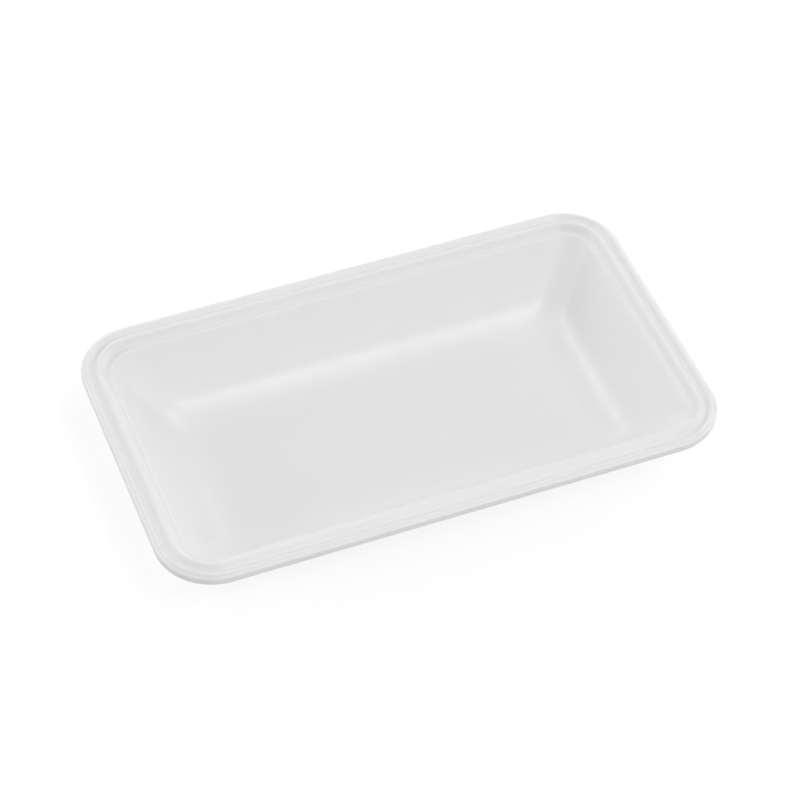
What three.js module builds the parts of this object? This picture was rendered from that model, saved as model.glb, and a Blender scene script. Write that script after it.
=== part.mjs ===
// A shallow foam meat tray: one sheet of pressed polystyrene foam with sloping walls and a double-ridged rim.
// The tray is a closed loft of rounded-rectangle rings. The rings run out from the middle of the floor, up
// the walls, over the rim, round the lip and back along the underside.
// Millimetres, +Z up, +X along the tray. The origin is under the middle of the tray, on the face it rests on.
import * as THREE from 'three';

// Overall sizes
const LENGTH = 225;
const WIDTH = 136;
const HEIGHT = 30;

// The foam sheet: in the walls and floor, at the lip, and where the groove thins it
const FOAM_T = 3;
const LIP_T = 2.6;
const GROOVE_T = 2;
const LIP_EDGE_R = 0.8;

// The rim's section, from the outer edge inwards: each value is the width of one stretch
const EDGE_TO_OUTER_RIDGE = 2;
const OUTER_RIDGE_TO_GROOVE = 2.1;
const GROOVE_TO_INNER_RIDGE = 2.6;
const INNER_RIDGE_TO_LEDGE = 3.4;
const LEDGE_W = 1.2;

// How far each part of the rim lies below the inner ridge, which is the tray's highest line
const OUTER_RIDGE_DROP = 0.2;
const GROOVE_DROP = 1.2;
const EDGE_DROP = 1.3;
const LEDGE_DROP = 3;

// The well
const WALL_ANGLE = THREE.MathUtils.degToRad(49);
const WALL_TOP_R = 1.4;
const FLOOR_R = 21;
const UNDER_RIM_R = 2;

// Corner radii in plan: at the top of the wall, and where the fillet runs out on the floor
const WELL_CORNER_R = 11.6;
const FLOOR_CORNER_R = 8.5;

// Facets: steps round a quarter circle in plan, along a swell of the rim, and round each fillet
const CORNER_STEPS = 12;
const SWELL_STEPS = 6;
const FLOOR_STEPS = 8;
const EDGE_STEPS = 4;

// Distances in from the outer edge
const outerRidgeIn = EDGE_TO_OUTER_RIDGE;
const grooveIn = outerRidgeIn + OUTER_RIDGE_TO_GROOVE;
const innerRidgeIn = grooveIn + GROOVE_TO_INNER_RIDGE;
const ledgeIn = innerRidgeIn + INNER_RIDGE_TO_LEDGE;
const wallTopIn = ledgeIn + LEDGE_W;

// Heights above the resting face
const edgeTopZ = HEIGHT - EDGE_DROP;
const lipUnderZ = edgeTopZ - LIP_T;
const ledgeZ = HEIGHT - LEDGE_DROP;
const outerRidgeZ = HEIGHT - OUTER_RIDGE_DROP;
const grooveZ = HEIGHT - GROOVE_DROP;
const underRidgesZ = grooveZ - GROOVE_T;
const underLedgeZ = ledgeZ - FOAM_T;
const floorFilletZ = FOAM_T + FLOOR_R;

// Where the wall's line meets the floor, and where the fillet between them ends on the floor
const wallFootIn = wallTopIn + (ledgeZ - FOAM_T) / Math.tan(WALL_ANGLE);
const floorIn = wallFootIn + FLOOR_R * Math.tan(WALL_ANGLE / 2);

// The corner arcs of the rim share one centre. Down the wall the centres move in, and the corners tighten.
const rimCentreIn = wallTopIn + WELL_CORNER_R;
const floorCentreIn = floorIn + FLOOR_CORNER_R;

function cornerCentreIn(upperSkinIn) {
  const share = THREE.MathUtils.clamp((upperSkinIn - wallTopIn) / (floorIn - wallTopIn), 0, 1);
  return THREE.MathUtils.lerp(rimCentreIn, floorCentreIn, share);
}

// A station of the section: its distance in from the edge, its height and the centre of its corner arcs
function station(distanceIn, z, centreIn = rimCentreIn) {
  return { distanceIn, z, centreIn };
}

// A smooth rise or fall that starts and ends level. Its first point is left to what comes before it.
function swell(fromIn, fromZ, toIn, toZ) {
  const stations = [];
  for (let step = 1; step <= SWELL_STEPS; step += 1) {
    const share = step / SWELL_STEPS;
    const distanceIn = THREE.MathUtils.lerp(fromIn, toIn, share);
    const z = THREE.MathUtils.lerp(fromZ, toZ, THREE.MathUtils.smoothstep(share, 0, 1));
    stations.push(station(distanceIn, z));
  }
  return stations;
}

// An arc of the rim's section, round a centre given by its distance in and its height
function rimArc(centreIn, centreZ, radius, startAngle, endAngle) {
  const stations = [];
  for (let step = 0; step <= EDGE_STEPS; step += 1) {
    const angle = THREE.MathUtils.lerp(startAngle, endAngle, step / EDGE_STEPS);
    stations.push(station(centreIn + radius * Math.cos(angle), centreZ + radius * Math.sin(angle)));
  }
  return stations;
}

// The floor's fillet on one skin, from the floor up to the wall. The underside's fillet is wider by the
// foam's thickness and shares the upper skin's corner centres, so that the walls keep their thickness round
// the corners.
function floorFillet(belowUpperSkin) {
  const stations = [];
  const radius = FLOOR_R + belowUpperSkin;
  for (let step = 0; step <= FLOOR_STEPS; step += 1) {
    const slope = WALL_ANGLE * step / FLOOR_STEPS;
    const upperSkinIn = floorIn - FLOOR_R * Math.sin(slope);
    const distanceIn = floorIn - radius * Math.sin(slope);
    const z = floorFilletZ - radius * Math.cos(slope);
    stations.push(station(distanceIn, z, cornerCentreIn(upperSkinIn)));
  }
  return stations;
}

// The rounded top of the wall, from the wall up on to the ledge
function wallTop() {
  const centreIn = wallTopIn - WALL_TOP_R * Math.tan(WALL_ANGLE / 2);
  return rimArc(centreIn, ledgeZ - WALL_TOP_R, WALL_TOP_R, Math.PI / 2 - WALL_ANGLE, Math.PI / 2);
}

// The two ridges with their groove, from the ledge out to the edge
function ridges() {
  return [
    station(ledgeIn, ledgeZ),
    ...swell(ledgeIn, ledgeZ, innerRidgeIn, HEIGHT),
    ...swell(innerRidgeIn, HEIGHT, grooveIn, grooveZ),
    ...swell(grooveIn, grooveZ, outerRidgeIn, outerRidgeZ),
    ...swell(outerRidgeIn, outerRidgeZ, LIP_EDGE_R, edgeTopZ).slice(0, -1),
  ];
}

// The lip's outer edge, rounded above and below
function lip() {
  const topCentreZ = edgeTopZ - LIP_EDGE_R;
  const underCentreZ = lipUnderZ + LIP_EDGE_R;
  return [
    ...rimArc(LIP_EDGE_R, topCentreZ, LIP_EDGE_R, Math.PI / 2, Math.PI),
    ...rimArc(LIP_EDGE_R, underCentreZ, LIP_EDGE_R, Math.PI, Math.PI * 3 / 2),
  ];
}

// The rim's underside: up from the lip into a shallow channel under the ridges, down to the ledge's
// underside, then round into the wall
function underRim() {
  const turnIn = wallTopIn - (FOAM_T + UNDER_RIM_R) * Math.tan(WALL_ANGLE / 2);
  return [
    ...swell(LIP_EDGE_R, lipUnderZ, grooveIn, underRidgesZ),
    station(innerRidgeIn, underRidgesZ),
    ...swell(innerRidgeIn, underRidgesZ, turnIn, underLedgeZ).slice(0, -1),
    ...rimArc(turnIn, underLedgeZ - UNDER_RIM_R, UNDER_RIM_R, Math.PI / 2, Math.PI / 2 - WALL_ANGLE),
  ];
}

const section = [
  ...floorFillet(0),
  ...wallTop(),
  ...ridges(),
  ...lip(),
  ...underRim(),
  ...floorFillet(FOAM_T).reverse(),
];

// The points of one station's ring, anticlockwise from above: a quarter circle at each corner
function ringPoints({ distanceIn, z, centreIn }) {
  const points = [];
  const centreX = LENGTH / 2 - centreIn;
  const centreY = WIDTH / 2 - centreIn;
  const radius = centreIn - distanceIn;
  const corners = [[1, 1], [-1, 1], [-1, -1], [1, -1]];
  corners.forEach(([sideX, sideY], corner) => {
    for (let step = 0; step <= CORNER_STEPS; step += 1) {
      const angle = (corner + step / CORNER_STEPS) * Math.PI / 2;
      points.push(sideX * centreX + radius * Math.cos(angle), sideY * centreY + radius * Math.sin(angle), z);
    }
  });
  return points;
}

// The closed skin: quads between neighbouring rings, and a fan over the flat floor on each side
function loftRings(stations) {
  const ringSize = 4 * (CORNER_STEPS + 1);
  const positions = stations.flatMap(ringPoints);
  const floorMiddle = positions.length / 3;
  positions.push(0, 0, stations[0].z);
  const underMiddle = floorMiddle + 1;
  positions.push(0, 0, stations[stations.length - 1].z);
  const lastRing = (stations.length - 1) * ringSize;
  const indices = [];
  for (let point = 0; point < ringSize; point += 1) {
    const next = (point + 1) % ringSize;
    indices.push(floorMiddle, point, next);
    for (let ring = 0; ring < lastRing; ring += ringSize) {
      const outer = ring + ringSize;
      indices.push(ring + point, outer + point, outer + next);
      indices.push(ring + point, outer + next, ring + next);
    }
    indices.push(underMiddle, lastRing + next, lastRing + point);
  }
  const geometry = new THREE.BufferGeometry();
  geometry.setAttribute('position', new THREE.Float32BufferAttribute(positions, 3));
  geometry.setIndex(indices);
  geometry.computeVertexNormals();
  return geometry;
}

const whiteFoam = new THREE.MeshStandardMaterial({ color: 0xf0f0ee, roughness: 0.6, metalness: 0 });

const foamTray = new THREE.Mesh(loftRings(section), whiteFoam);
foamTray.name = 'foam_tray';

const model = new THREE.Group();
model.add(foamTray);

export default model;
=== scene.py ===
"""Dresses a foam meat tray: a fine skin in place of the plain solid, its foam finish, and a pale studio."""

import logging
import math
from dataclasses import dataclass, field
from enum import Enum

import bmesh
import bpy
import numpy as np
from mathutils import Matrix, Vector, noise


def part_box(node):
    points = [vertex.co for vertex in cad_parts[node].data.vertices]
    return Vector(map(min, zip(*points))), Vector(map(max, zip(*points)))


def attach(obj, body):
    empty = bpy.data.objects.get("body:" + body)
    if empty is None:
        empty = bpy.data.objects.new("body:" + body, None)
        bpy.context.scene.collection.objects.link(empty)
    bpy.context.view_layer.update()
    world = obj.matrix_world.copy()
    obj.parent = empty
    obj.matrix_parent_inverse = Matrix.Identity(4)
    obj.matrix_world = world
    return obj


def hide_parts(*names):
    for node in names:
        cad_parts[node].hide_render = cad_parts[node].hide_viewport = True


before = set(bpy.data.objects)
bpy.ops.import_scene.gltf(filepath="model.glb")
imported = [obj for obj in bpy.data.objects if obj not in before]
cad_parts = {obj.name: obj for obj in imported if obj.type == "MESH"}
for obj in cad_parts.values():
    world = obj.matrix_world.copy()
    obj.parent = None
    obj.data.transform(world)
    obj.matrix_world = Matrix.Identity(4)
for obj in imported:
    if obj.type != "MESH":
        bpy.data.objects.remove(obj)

MM = 0.001
QUARTER_TURN = math.pi / 2
NODE = "foam_tray"
BODY = "root"

log = logging.getLogger("foam_tray")


class Surface(Enum):
    """The finishes that the tray's faces take, by their place in the mesh's material list."""

    SKIN = 0
    CUT_EDGE = 1


@dataclass(frozen=True)
class Foam:
    """White polystyrene foam with fine closed cells and a slightly cloudy sheen.

    Attributes:
        name: The material's name.
        colour: The foam's own colour, linear.
        roughness: The lowest and highest roughness.
        cloud: The width of a cloud in the sheen, in metres.
        cloud_detail: How many finer levels each cloud has.
        cloud_range: The part of the clouds' tones that the roughness is spread over.
        cell: The width of a cell, in metres.
        cell_depth: How far the cells stand in relief, in metres.
    """

    name: str
    colour: tuple[float, float, float] = (0.80, 0.80, 0.80)
    roughness: tuple[float, float] = (0.33, 0.39)
    cloud: float = 12.0 * MM
    cloud_detail: float = 3.0
    cloud_range: tuple[float, float] = (0.3, 0.7)
    cell: float = 0.5 * MM
    cell_depth: float = 0.006 * MM

    def make(self) -> bpy.types.Material:
        """Makes the material.

        Returns:
            The material, with an even colour, a cloudy sheen and a relief of cells.
        """
        material = bpy.data.materials.new(self.name)
        material.use_nodes = True
        tree = material.node_tree
        shader = tree.nodes["Principled BSDF"]
        shader.inputs["Base Color"].default_value = (*self.colour, 1.0)
        place = tree.nodes.new("ShaderNodeTexCoord").outputs["Object"]
        tree.links.new(self.cloudy_sheen(tree, place), shader.inputs["Roughness"])
        tree.links.new(self.cell_relief(tree, place), shader.inputs["Normal"])
        return material

    def cloudy_sheen(self, tree: bpy.types.NodeTree, place: bpy.types.NodeSocket) -> bpy.types.NodeSocket:
        """Adds the nodes that vary the roughness over the foam.

        Args:
            tree: The material's node tree.
            place: The place on the tray.

        Returns:
            The roughness.
        """
        cloud = tree.nodes.new("ShaderNodeTexNoise")
        cloud.inputs["Scale"].default_value = 1 / self.cloud
        cloud.inputs["Detail"].default_value = self.cloud_detail
        tree.links.new(place, cloud.inputs["Vector"])
        spread = tree.nodes.new("ShaderNodeMapRange")
        spread.inputs["From Min"].default_value = self.cloud_range[0]
        spread.inputs["From Max"].default_value = self.cloud_range[1]
        spread.inputs["To Min"].default_value = self.roughness[0]
        spread.inputs["To Max"].default_value = self.roughness[1]
        tree.links.new(cloud.outputs["Fac"], spread.inputs["Value"])
        return spread.outputs["Result"]

    def cell_relief(self, tree: bpy.types.NodeTree, place: bpy.types.NodeSocket) -> bpy.types.NodeSocket:
        """Adds the nodes that raise the foam's cells in low relief.

        Args:
            tree: The material's node tree.
            place: The place on the tray.

        Returns:
            The surface's normal.
        """
        cells = tree.nodes.new("ShaderNodeTexVoronoi")
        cells.feature = "SMOOTH_F1"
        cells.inputs["Scale"].default_value = 1 / self.cell
        tree.links.new(place, cells.inputs["Vector"])
        relief = tree.nodes.new("ShaderNodeBump")
        relief.inputs["Strength"].default_value = 1.0
        relief.inputs["Distance"].default_value = self.cell_depth
        relief.invert = True
        tree.links.new(cells.outputs["Distance"], relief.inputs["Height"])
        return relief.outputs["Normal"]


@dataclass(frozen=True)
class Station:
    """One ring of the tray's skin.

    Attributes:
        inset: Distance in from the rim's outer edge, in metres.
        height: Height above the resting face, in metres.
        centre: Distance in from the rim's outer edge to the centre of the ring's corner arcs, in metres.
        surface: The finish of the faces between this ring and the next.
    """

    inset: float
    height: float
    centre: float
    surface: Surface = Surface.SKIN


@dataclass(frozen=True)
class Rim:
    """The rim's section, in metres.

    Attributes:
        edge_to_outer_ridge: Width from the outer edge to the outer ridge's crest.
        outer_ridge_to_groove: Width from that crest to the groove's lowest line.
        groove_to_inner_ridge: Width from that line to the inner ridge's crest.
        inner_ridge_to_ledge: Width of the step from that crest down to the ledge.
        ledge: Width of the ledge.
        outer_ridge_drop: Depth of the outer ridge below the inner one, which is the tray's highest line.
        groove_drop: Depth of the groove below the inner ridge.
        edge_drop: Depth of the lip's upper edge below the inner ridge.
        ledge_drop: Depth of the ledge below the inner ridge.
        lip: Thickness of the foam at the lip.
        groove_foam: Thickness of the foam below the groove.
        lip_edge_radius: Radius of the lip's upper and lower edges.
        under_radius: Radius of the underside's turn from the ledge into the wall.
    """

    edge_to_outer_ridge: float = 2.0 * MM
    outer_ridge_to_groove: float = 2.1 * MM
    groove_to_inner_ridge: float = 2.8 * MM
    inner_ridge_to_ledge: float = 3.2 * MM
    ledge: float = 1.2 * MM
    outer_ridge_drop: float = 0.2 * MM
    groove_drop: float = 1.8 * MM
    edge_drop: float = 1.0 * MM
    ledge_drop: float = 3.0 * MM
    lip: float = 3.3 * MM
    groove_foam: float = 1.4 * MM
    lip_edge_radius: float = 0.8 * MM
    under_radius: float = 2.0 * MM

    @property
    def outer_ridge(self) -> float:
        """Inset of the outer ridge's crest."""
        return self.edge_to_outer_ridge

    @property
    def groove(self) -> float:
        """Inset of the groove's lowest line."""
        return self.outer_ridge + self.outer_ridge_to_groove

    @property
    def inner_ridge(self) -> float:
        """Inset of the inner ridge's crest."""
        return self.groove + self.groove_to_inner_ridge

    @property
    def ledge_start(self) -> float:
        """Inset of the ledge's outer side."""
        return self.inner_ridge + self.inner_ridge_to_ledge

    @property
    def wall_top(self) -> float:
        """Inset of the line where the ledge's level and the wall would meet without a rounding."""
        return self.ledge_start + self.ledge


@dataclass(frozen=True)
class Well:
    """The tray's hollow, in metres and radians.

    Attributes:
        foam: Thickness of the foam in the floor and the walls.
        wall_angle: The walls' slope, from level.
        wall_top_radius: Radius of the rounding between the ledge and the wall.
        floor_radius: Radius of the fillet between the floor and the wall.
        mouth_corner: Radius of the corners in plan, at the top of the wall.
        floor_corner: Radius of the corners in plan, where the fillet runs out on the floor.
    """

    foam: float = 3.0 * MM
    wall_angle: float = math.radians(49)
    wall_top_radius: float = 1.4 * MM
    floor_radius: float = 21.0 * MM
    mouth_corner: float = 11.6 * MM
    floor_corner: float = 8.5 * MM


@dataclass(frozen=True)
class Fineness:
    """How many steps the skin's mesh takes along each stretch.

    Attributes:
        corner: Steps round each corner in plan.
        long_side: Steps along each long side in plan.
        short_side: Steps along each short side in plan.
        swell: Steps over each rise or fall of the rim.
        floor_fillet: Steps up the floor's fillet.
        small_radius: Steps round each small rounding of the rim.
        wall: Steps up the wall.
        flat_floor: Steps from the flat floor's edge to its middle line.
    """

    corner: int = 20
    long_side: int = 80
    short_side: int = 40
    swell: int = 8
    floor_fillet: int = 14
    small_radius: int = 6
    wall: int = 12
    flat_floor: int = 14


@dataclass(frozen=True)
class Unevenness:
    """The slight waves that pressing leaves in a sheet of foam. They only ever sink into the sheet.

    Attributes:
        depth: The deepest that a wave sinks, in metres.
        wave_length: The width of a wave, in metres.
        seed_shift: Where in the noise the waves are taken from.
    """

    depth: float = 0.05 * MM
    wave_length: float = 28.0 * MM
    seed_shift: tuple[float, float, float] = (3.1, 7.7, 1.3)

    def sink(self, point: Vector) -> float:
        """Works out how far the skin lies below its true place.

        Args:
            point: A point of the skin, in metres.

        Returns:
            A depth from zero to the whole depth, in metres.
        """
        wave = noise.noise(point / self.wave_length + Vector(self.seed_shift))
        return self.depth * min(1.0, max(0.0, (1 + wave) / 2))


@dataclass
class FoamTray:
    """The tray's skin, lofted through rounded-rectangle rings from the floor round the rim to the underside.

    Attributes:
        length: The tray's length over the rim, in metres.
        width: The tray's width over the rim, in metres.
        height: The height of its highest line above the resting face, in metres.
        rim: The rim's sizes.
        well: The hollow's sizes.
        fineness: The mesh's steps.
        unevenness: The waves in the pressed sheet.
        finishes: The foam of each kind of surface.
    """

    length: float
    width: float
    height: float
    rim: Rim = field(default_factory=Rim)
    well: Well = field(default_factory=Well)
    fineness: Fineness = field(default_factory=Fineness)
    unevenness: Unevenness = field(default_factory=Unevenness)
    finishes: dict[Surface, Foam] = field(default_factory=lambda: {
        Surface.SKIN: Foam("foam_skin"),
        Surface.CUT_EDGE: Foam("foam_cut_edge", roughness=(0.62, 0.75), cell_depth=0.03 * MM),
    })

    @property
    def ledge_height(self) -> float:
        """Height of the ledge inside the ridges."""
        return self.height - self.rim.ledge_drop

    @property
    def floor_inset(self) -> float:
        """Inset of the line where the floor's fillet runs out on the floor."""
        run = (self.ledge_height - self.well.foam) / math.tan(self.well.wall_angle)
        return self.rim.wall_top + run + self.well.floor_radius * math.tan(self.well.wall_angle / 2)

    @property
    def rim_centre(self) -> float:
        """Inset of the centre that the rim's corner arcs share."""
        return self.rim.wall_top + self.well.mouth_corner

    @property
    def wall_top_centre(self) -> tuple[float, float]:
        """Inset and height of the centre of the rounding between the ledge and the wall."""
        radius = self.well.wall_top_radius
        return self.rim.wall_top - radius * math.tan(self.well.wall_angle / 2), self.ledge_height - radius

    @property
    def under_turn_centre(self) -> tuple[float, float]:
        """Inset and height of the centre of the underside's turn from the ledge into the wall."""
        reach = self.well.foam + self.rim.under_radius
        return self.rim.wall_top - reach * math.tan(self.well.wall_angle / 2), self.ledge_height - reach

    def corner_centre(self, upper_inset: float) -> float:
        """Finds the centre of a ring's corner arcs, which moves inwards down the wall.

        Args:
            upper_inset: The inset of the ring on the upper skin.

        Returns:
            The inset of the arcs' centre.
        """
        run = self.floor_inset - self.rim.wall_top
        share = min(1.0, max(0.0, (upper_inset - self.rim.wall_top) / run))
        return self.rim_centre + share * (self.floor_inset + self.well.floor_corner - self.rim_centre)

    def rim_station(self, inset: float, height: float, surface: Surface = Surface.SKIN) -> Station:
        """Makes a ring whose corner arcs share the rim's centre.

        Args:
            inset: The ring's inset.
            height: The ring's height.
            surface: The finish of the faces after it.

        Returns:
            The station.
        """
        return Station(inset, height, self.rim_centre, surface)

    def swell(self, start: tuple[float, float], end: tuple[float, float]) -> list[Station]:
        """Makes a smooth rise or fall that starts and ends level, without its first ring.

        Args:
            start: Inset and height where it starts.
            end: Inset and height where it ends.

        Returns:
            The stations after the first.
        """
        stations = []
        for step in range(1, self.fineness.swell + 1):
            share = step / self.fineness.swell
            ease = share * share * (3 - 2 * share)
            inset = start[0] + (end[0] - start[0]) * share
            stations.append(self.rim_station(inset, start[1] + (end[1] - start[1]) * ease))
        return stations

    def rim_arc(self, centre: tuple[float, float], radius: float, start: float, end: float) -> list[Station]:
        """Makes an arc of the rim's section.

        Args:
            centre: Inset and height of the arc's centre.
            radius: The arc's radius.
            start: The angle where it starts, in radians.
            end: The angle where it ends, in radians.

        Returns:
            The arc's stations, both ends included.
        """
        stations = []
        for step in range(self.fineness.small_radius + 1):
            angle = start + (end - start) * step / self.fineness.small_radius
            stations.append(self.rim_station(centre[0] + radius * math.cos(angle),
                                             centre[1] + radius * math.sin(angle)))
        return stations

    def well_side(self, below: float) -> list[Station]:
        """Makes the floor's fillet and the wall on one skin, from the floor up.

        Args:
            below: How deep in the foam's thickness the skin lies: zero for the upper skin.

        Returns:
            The stations from the end of the flat floor to just short of the wall's top.
        """
        well = self.well
        radius = well.floor_radius + below
        fillet_height = well.foam + well.floor_radius
        stations = []
        for step in range(self.fineness.floor_fillet + 1):
            slope = well.wall_angle * step / self.fineness.floor_fillet
            upper_inset = self.floor_inset - well.floor_radius * math.sin(slope)
            inset = self.floor_inset - radius * math.sin(slope)
            height = fillet_height - radius * math.cos(slope)
            stations.append(Station(inset, height, self.corner_centre(upper_inset)))
        foot = stations[-1]
        top_inset, top_height = self.wall_end(below)
        for step in range(1, self.fineness.wall):
            share = step / self.fineness.wall
            inset = foot.inset + (top_inset - foot.inset) * share
            height = foot.height + (top_height - foot.height) * share
            centre = self.corner_centre(inset + below * math.sin(well.wall_angle))
            stations.append(Station(inset, height, centre))
        return stations

    def wall_end(self, below: float) -> tuple[float, float]:
        """Finds where a wall's straight slope ends at its top.

        Args:
            below: How deep in the foam's thickness the skin lies: zero for the upper skin.

        Returns:
            The end's inset and height.
        """
        angle = self.well.wall_angle
        if below == 0:
            (inset, height), radius = self.wall_top_centre, self.well.wall_top_radius
        else:
            (inset, height), radius = self.under_turn_centre, self.rim.under_radius
        return inset + radius * math.sin(angle), height + radius * math.cos(angle)

    def wall_top(self) -> list[Station]:
        """Makes the rounding from the wall on to the ledge."""
        steepest = QUARTER_TURN - self.well.wall_angle
        return self.rim_arc(self.wall_top_centre, self.well.wall_top_radius, steepest, QUARTER_TURN)

    def ridges(self) -> list[Station]:
        """Makes the two ridges and their groove, from the ledge out to the edge.

        Returns:
            The stations, without the last at the edge, where the lip's rounding starts.
        """
        rim = self.rim
        line = [
            (rim.ledge_start, self.ledge_height),
            (rim.inner_ridge, self.height),
            (rim.groove, self.height - rim.groove_drop),
            (rim.outer_ridge, self.height - rim.outer_ridge_drop),
            (rim.lip_edge_radius, self.height - rim.edge_drop),
        ]
        stations = [self.rim_station(*line[0])]
        for start, end in zip(line, line[1:]):
            stations += self.swell(start, end)
        return stations[:-1]

    def lip(self) -> list[Station]:
        """Makes the lip's outer edge, rounded above and below, where the sheet was cut.

        Returns:
            The stations from the lip's upper edge to its lower one.
        """
        radius = self.rim.lip_edge_radius
        top_height = self.height - self.rim.edge_drop - radius
        under_height = self.height - self.rim.edge_drop - self.rim.lip + radius
        upper_arc = self.rim_arc((radius, top_height), radius, QUARTER_TURN, 2 * QUARTER_TURN)
        lower_arc = self.rim_arc((radius, under_height), radius, 2 * QUARTER_TURN, 3 * QUARTER_TURN)
        cut = self.rim_station(0.0, top_height, Surface.CUT_EDGE)
        return upper_arc[:-1] + [cut] + lower_arc

    def under_rim(self) -> list[Station]:
        """Makes the rim's underside: a shallow channel under the ridges, then down and round into the wall.

        Returns:
            The stations from the lip to the top of the wall.
        """
        rim = self.rim
        under_lip = (rim.lip_edge_radius, self.height - rim.edge_drop - rim.lip)
        channel = self.height - rim.groove_drop - rim.groove_foam
        turn = self.under_turn_centre
        stations = self.swell(under_lip, (rim.groove, channel))
        stations.append(self.rim_station(rim.inner_ridge, channel))
        stations += self.swell((rim.inner_ridge, channel), (turn[0], turn[1] + rim.under_radius))
        stations += self.rim_arc(turn, rim.under_radius, QUARTER_TURN, QUARTER_TURN - self.well.wall_angle)
        return stations

    def section(self) -> list[Station]:
        """Lists every ring from the upper floor, over the rim, to the underside."""
        upper = self.well_side(0.0) + self.wall_top() + self.ridges() + self.lip()
        return upper + self.under_rim() + self.well_side(self.well.foam)[::-1]

    def ring(self, station: Station) -> np.ndarray:
        """Places one ring's points, anticlockwise from above.

        Args:
            station: The ring's station.

        Returns:
            An array of points, one row each, in metres.
        """
        half_x = self.length / 2 - station.centre
        half_y = self.width / 2 - station.centre
        radius = station.centre - station.inset
        arcs = []
        for corner, (side_x, side_y) in enumerate(((1, 1), (-1, 1), (-1, -1), (1, -1))):
            angles = (corner + np.arange(self.fineness.corner + 1) / self.fineness.corner) * QUARTER_TURN
            arcs.append(np.column_stack((side_x * half_x + radius * np.cos(angles),
                                         side_y * half_y + radius * np.sin(angles),
                                         np.full_like(angles, station.height))))
        stretches = []
        for arc, following, steps in zip(arcs, arcs[1:] + arcs[:1], self.side_steps()):
            straight = arc[-1] + (following[0] - arc[-1]) * np.arange(1, steps)[:, np.newaxis] / steps
            stretches += [arc, straight]
        return np.vstack(stretches)

    def side_steps(self) -> tuple[int, ...]:
        """Lists the mesh's steps along the back, left, front and right sides."""
        return (self.fineness.long_side, self.fineness.short_side) * 2

    def floor_rings(self, edge: np.ndarray) -> list[np.ndarray]:
        """Fills a flat floor with rings that shrink from its edge to the tray's middle line.

        Args:
            edge: The floor's edge ring.

        Returns:
            The rings from the one next to the edge to the one on the middle line.
        """
        reach = (self.length - self.width) / 2
        spine = edge.copy()
        spine[:, 0] = np.clip(edge[:, 0], -reach, reach)
        spine[:, 1] = 0.0
        count = self.fineness.flat_floor
        return [edge + (spine - edge) * step / count for step in range(1, count + 1)]

    def skin(self) -> tuple[np.ndarray, list[tuple[int, ...]], list[int]]:
        """Joins the rings into a closed skin.

        Returns:
            The points, the faces as tuples of point numbers, and each face's place in the material list.
        """
        stations = self.section()
        rings = [self.ring(station) for station in stations]
        above = self.floor_rings(rings[0])[::-1]
        below = self.floor_rings(rings[-1])
        surfaces = [Surface.SKIN] * len(above) + [station.surface for station in stations]
        surfaces += [Surface.SKIN] * len(below)
        rings = above + rings + below
        size = len(rings[0])
        faces = []
        finishes = []
        for row in range(len(rings) - 1):
            inner, outer = row * size, (row + 1) * size
            for point in range(size):
                following = (point + 1) % size
                faces.append((inner + point, outer + point, outer + following, inner + following))
                finishes.append(surfaces[row].value)
        return np.vstack(rings), faces, finishes

    def build(self) -> bpy.types.Object:
        """Makes the tray's object with a smooth, slightly uneven skin, and dresses it.

        Returns:
            The tray's object.
        """
        points, faces, finishes = self.skin()
        mesh = bpy.data.meshes.new("tray_skin")
        mesh.from_pydata([tuple(point) for point in points], [], faces)
        mesh.polygons.foreach_set("material_index", finishes)
        mesh.polygons.foreach_set("use_smooth", [True] * len(faces))
        merge_doubles(mesh)
        self.make_uneven(mesh)
        tray = bpy.data.objects.new("tray_skin", mesh)
        bpy.context.scene.collection.objects.link(tray)
        self.dress(tray)
        return tray

    def make_uneven(self, mesh: bpy.types.Mesh) -> None:
        """Sinks the skin's points along their normals by the sheet's unevenness.

        Args:
            mesh: The tray's mesh, whose points are changed.
        """
        moved = [vertex.co - vertex.normal * self.unevenness.sink(vertex.co) for vertex in mesh.vertices]
        mesh.vertices.foreach_set("co", [value for point in moved for value in point])
        mesh.update()

    def dress(self, tray: bpy.types.Object) -> None:
        """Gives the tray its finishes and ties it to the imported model.

        Args:
            tray: The tray's object.
        """
        for surface in Surface:
            tray.data.materials.append(self.finishes[surface].make())
        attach(tray, BODY)
        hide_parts(NODE)


def merge_doubles(mesh: bpy.types.Mesh, distance: float = 0.001 * MM) -> None:
    """Merges the points that lie on each other and drops the faces that vanish with them.

    Args:
        mesh: The mesh to clean.
        distance: How close two points have to be, in metres.
    """
    work = bmesh.new()
    work.from_mesh(mesh)
    bmesh.ops.remove_doubles(work, verts=work.verts, dist=distance)
    bmesh.ops.dissolve_degenerate(work, edges=work.edges, dist=distance)
    bmesh.ops.recalc_face_normals(work, faces=work.faces)
    work.to_mesh(mesh)
    work.free()


def maths(tree: bpy.types.NodeTree, operation: str,
          *values: bpy.types.NodeSocket | float) -> bpy.types.NodeSocket:
    """Adds a maths node.

    Args:
        tree: The node tree.
        operation: What the node works out.
        *values: Its inputs in order, each a socket to link or a number to set.

    Returns:
        The node's result.
    """
    node = tree.nodes.new("ShaderNodeMath")
    node.operation = operation
    for entry, value in zip(node.inputs, values):
        if isinstance(value, bpy.types.NodeSocket):
            tree.links.new(value, entry)
        else:
            entry.default_value = value
    return node.outputs[0]


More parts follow.
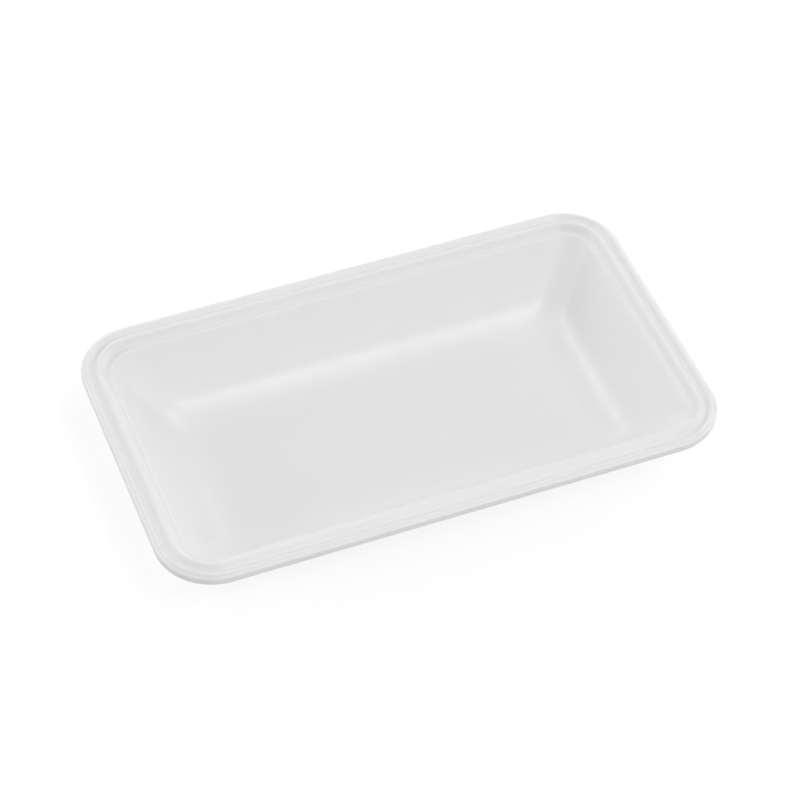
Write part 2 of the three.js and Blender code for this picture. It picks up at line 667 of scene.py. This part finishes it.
@dataclass(frozen=True)
class PaleFloor:
    """The plain white floor that the tray stands on.

    Attributes:
        half_size: Half the floor's side, in metres.
        colour: The floor's own colour, linear, with which it throws light back on the tray.
        seen_colour: The share of the light on the floor that shows, so that the shadow stays faint.
        lift: The even white that shows on top of it, so that the open floor reads as white.
    """

    half_size: float = 6.0
    colour: float = 0.8
    seen_colour: float = 0.22
    lift: float = 0.82

    def build(self) -> None:
        """Makes the floor."""
        reach = self.half_size
        corners = [(-reach, -reach, 0.0), (reach, -reach, 0.0), (reach, reach, 0.0), (-reach, reach, 0.0)]
        mesh = bpy.data.meshes.new("pale_floor")
        mesh.from_pydata(corners, [], [(0, 1, 2, 3)])
        mesh.materials.append(self.finish())
        floor = bpy.data.objects.new("pale_floor", mesh)
        bpy.context.scene.collection.objects.link(floor)

    def finish(self) -> bpy.types.Material:
        """Makes the floor's material.

        Returns:
            A matt white that shows only a faint shadow, but throws light back as a pale floor does.
        """
        material = bpy.data.materials.new("pale_floor")
        material.use_nodes = True
        tree = material.node_tree
        tree.nodes.clear()
        seen = self.seen_directly(tree)
        lit = tree.nodes.new("ShaderNodeBsdfDiffuse")
        shade = maths(tree, "MULTIPLY_ADD", seen, self.seen_colour - self.colour, self.colour)
        tree.links.new(shade, lit.inputs["Color"])
        glow = tree.nodes.new("ShaderNodeEmission")
        tree.links.new(maths(tree, "MULTIPLY", seen, self.lift), glow.inputs["Strength"])
        both = tree.nodes.new("ShaderNodeAddShader")
        tree.links.new(lit.outputs[0], both.inputs[0])
        tree.links.new(glow.outputs[0], both.inputs[1])
        output = tree.nodes.new("ShaderNodeOutputMaterial")
        tree.links.new(both.outputs[0], output.inputs["Surface"])
        return material

    def seen_directly(self, tree: bpy.types.NodeTree) -> bpy.types.NodeSocket:
        """Adds nodes that say whether a ray comes from the camera, a gloss or a clear surface.

        Args:
            tree: The floor's node tree.

        Returns:
            A socket that is 1 for such a ray and 0 for any other.
        """
        path = tree.nodes.new("ShaderNodeLightPath")
        either = maths(tree, "MAXIMUM", path.outputs["Is Camera Ray"], path.outputs["Is Glossy Ray"])
        return maths(tree, "MAXIMUM", either, path.outputs["Is Transmission Ray"])


def direction(azimuth: float, elevation: float) -> Vector:
    """Finds the way out from the tray at an angle.

    Args:
        azimuth: The angle round the tray: 0 is in front of it, 90 to its right, in degrees.
        elevation: The angle above the floor, in degrees.

    Returns:
        A vector one unit long.
    """
    around, up = math.radians(azimuth), math.radians(elevation)
    return Vector((math.sin(around) * math.cos(up), -math.cos(around) * math.cos(up), math.sin(up)))


@dataclass(frozen=True)
class Softbox:
    """A square area lamp that points at the tray.

    Attributes:
        name: The lamp's name.
        azimuth: Where it stands: 0 is in front of the tray, 90 to its right, in degrees.
        elevation: Its height above the floor, in degrees.
        side: The length of its side, in metres.
        strength: The light that it throws on a face turned to it, where 1 shows a colour as it is written.
        distance: How far it stands from the tray, in metres.
    """

    name: str
    azimuth: float
    elevation: float
    side: float
    strength: float
    distance: float = 2.5

    def build(self) -> None:
        """Makes the lamp."""
        lamp = bpy.data.lights.new(self.name, "AREA")
        lamp.shape = "SQUARE"
        lamp.size = self.side
        lamp.energy = self.strength * math.pi * math.pi * self.distance ** 2
        holder = bpy.data.objects.new(self.name, lamp)
        outward = direction(self.azimuth, self.elevation)
        holder.location = outward * self.distance
        holder.rotation_euler = outward.to_track_quat("Z", "Y").to_euler()
        bpy.context.scene.collection.objects.link(holder)


@dataclass(frozen=True)
class Studio:
    """The floor, the lamps and the even light of a white room.

    Attributes:
        floor: The floor.
        room_light: The strength of the room's even light.
        lamps: The lamps, each named by where it stands.
    """

    floor: PaleFloor = field(default_factory=PaleFloor)
    room_light: float = 0.325
    lamps: tuple[Softbox, ...] = (
        Softbox("high_front", 15.0, 55.0, side=0.6, strength=0.143),
        Softbox("high_front_right", 30.0, 55.0, side=0.6, strength=0.107),
        Softbox("top", 45.0, 71.0, side=0.7, strength=0.098),
        Softbox("low_front", 15.0, 25.0, side=0.6, strength=0.113),
        Softbox("high_right", 105.0, 45.0, side=0.8, strength=0.152),
        Softbox("low_right", 90.0, 8.0, side=1.0, strength=0.133),
        Softbox("low_back_right", 135.0, 8.0, side=1.0, strength=0.131),
        Softbox("low_back", 180.0, 8.0, side=1.0, strength=0.125),
        Softbox("back", 195.0, 25.0, side=0.6, strength=0.072),
        Softbox("high_back_left", 225.0, 40.0, side=0.6, strength=0.170),
        Softbox("low_back_left", 225.0, 8.0, side=1.0, strength=0.100),
        Softbox("low_left", 255.0, 20.0, side=0.8, strength=0.122),
    )

    def build(self) -> None:
        """Makes the floor, the room's light and every lamp."""
        self.floor.build()
        self.light_room()
        for lamp in self.lamps:
            lamp.build()
            log.info("lamp %s", lamp.name)

    def light_room(self) -> None:
        """Sets the even light of the room."""
        world = bpy.data.worlds.new("white_room")
        world.use_nodes = True
        background = world.node_tree.nodes["Background"]
        background.inputs["Color"].default_value = (1.0, 1.0, 1.0, 1.0)
        background.inputs["Strength"].default_value = self.room_light
        bpy.context.scene.world = world


@dataclass(frozen=True)
class PhotoCamera:
    """The camera, placed as the photograph was taken.

    Attributes:
        azimuth: Its direction from the tray: 0 is in front and negative is to the left, in degrees.
        elevation: Its height above the floor, in degrees.
        distance: How far it stands from the point that it aims at, in metres.
        lens: Its focal length, in millimetres.
        sensor: The width of its sensor, in millimetres.
        clip: The nearest and the farthest that it sees, in metres.
        aim: The point at the picture's middle, in metres.
    """

    azimuth: float = -20.88
    elevation: float = 47.04
    distance: float = 1.1427
    lens: float = 131.9
    sensor: float = 36.0
    clip: tuple[float, float] = (0.01, 50.0)
    aim: tuple[float, float, float] = (2.56 * MM, 3.52 * MM, 16.25 * MM)

    def build(self) -> None:
        """Makes the camera and sets it as the scene's."""
        camera = bpy.data.cameras.new("photo_camera")
        camera.lens = self.lens
        camera.sensor_width = self.sensor
        camera.clip_start, camera.clip_end = self.clip
        holder = bpy.data.objects.new("photo_camera", camera)
        back = direction(self.azimuth, self.elevation)
        holder.location = Vector(self.aim) + back * self.distance
        holder.rotation_euler = (-back).to_track_quat("-Z", "Y").to_euler()
        bpy.context.scene.collection.objects.link(holder)
        bpy.context.scene.camera = holder


def main() -> None:
    """Builds the tray, the studio and the camera."""
    logging.basicConfig(level=logging.INFO, format="%(message)s")
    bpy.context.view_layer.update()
    low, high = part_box(NODE)
    size = high - low
    tray = FoamTray(length=size.x, width=size.y, height=size.z).build()
    log.info("piece %s: %d faces", tray.name, len(tray.data.polygons))
    Studio().build()
    PhotoCamera().build()
    bpy.context.scene.view_settings.view_transform = "Standard"


if __name__ == "__main__":
    main()
